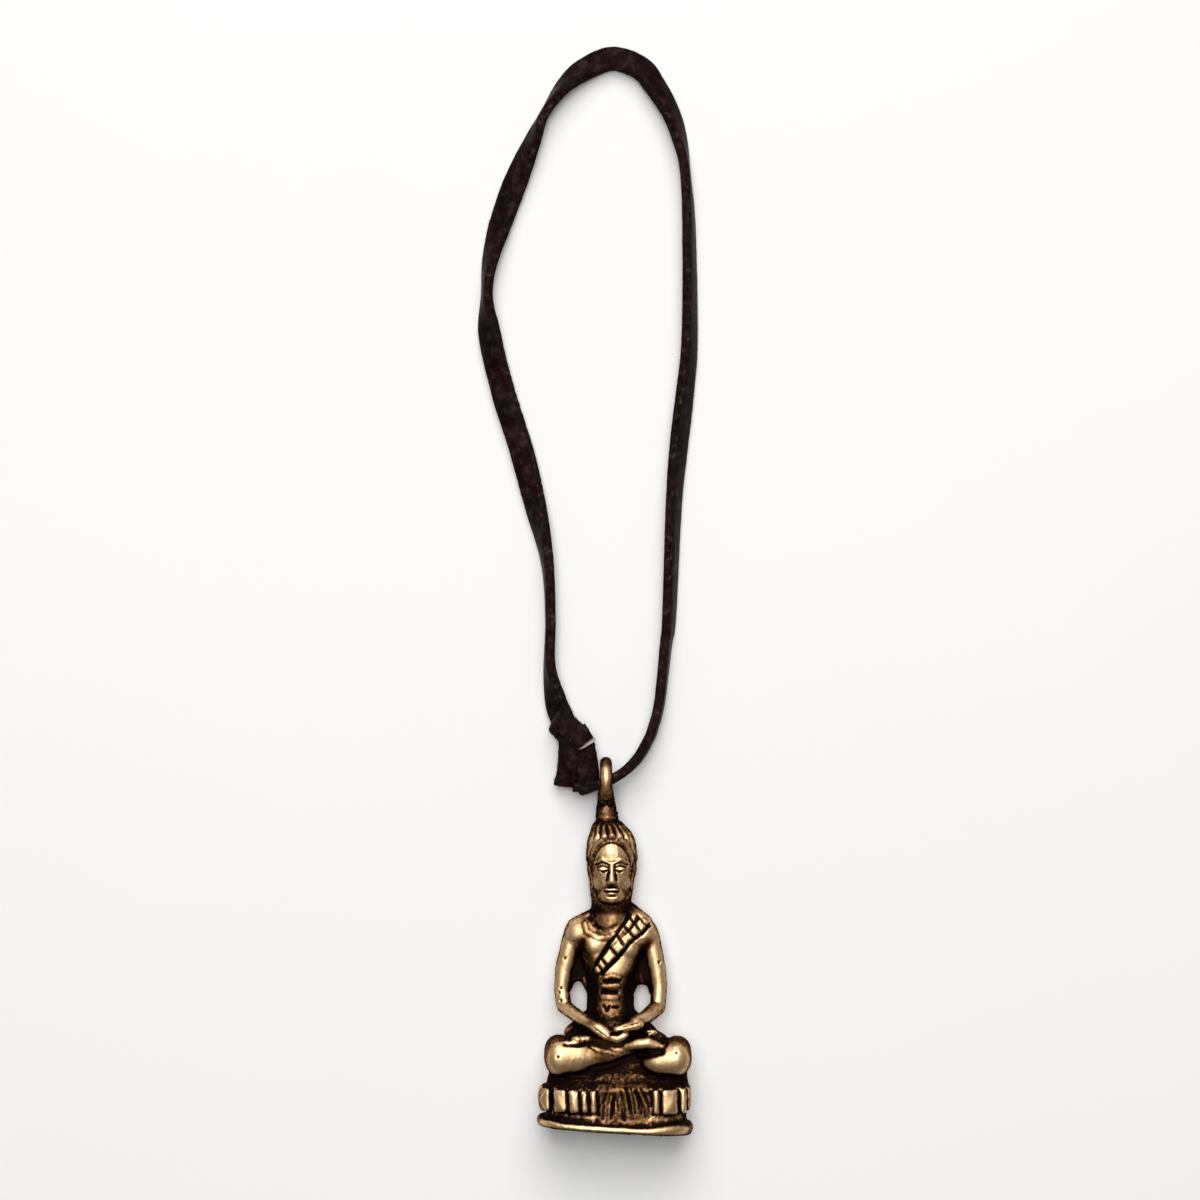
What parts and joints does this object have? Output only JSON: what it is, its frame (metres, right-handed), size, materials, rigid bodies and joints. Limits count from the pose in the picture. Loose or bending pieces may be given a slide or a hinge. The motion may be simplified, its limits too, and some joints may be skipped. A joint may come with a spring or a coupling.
{
  "type": "seated figure amulet pendant on a thong",
  "caption": "Small brass amulet cast as a figure seated on a lotus base, with a hanging loop, on a knotted flat leather thong.",
  "frame": {"origin": "under the middle of the amulet, without its thong, on the surface that it lies on", "axes": "+X to the viewer's right across the figure, +Y up the figure from its base to its hanging loop, +Z out of the surface, from the figure's back to its front"},
  "size_m": [0.0277, 0.1363, 0.011],
  "materials": {
    "antique_brass": "cast brass, rubbed bright on the high places, with a dark brown patina left in the hollows",
    "thong_leather": "dark brown drum-dyed leather with a faint waxy sheen and furred cut edges",
    "cut_leather": "the same leather, with the paler raw fibres of its cut ends"
  },
  "bodies": {
    "pendant": {"figure_casting": "antique_brass", "hanging_loop": "antique_brass"},
    "thong": {"thong_loop": "thong_leather", "knot_turns": "thong_leather", "tail_upper": "cut_leather", "tail_lower": "cut_leather"}
  },
  "joints": [
    {"name": "thong_swing", "type": "hinge", "parent": "pendant", "child": "thong", "pos_m": [-0.00112, 0.02019, 0.0036], "axis": [1, 0, 0], "range_deg": [0, 120]}
  ]
}
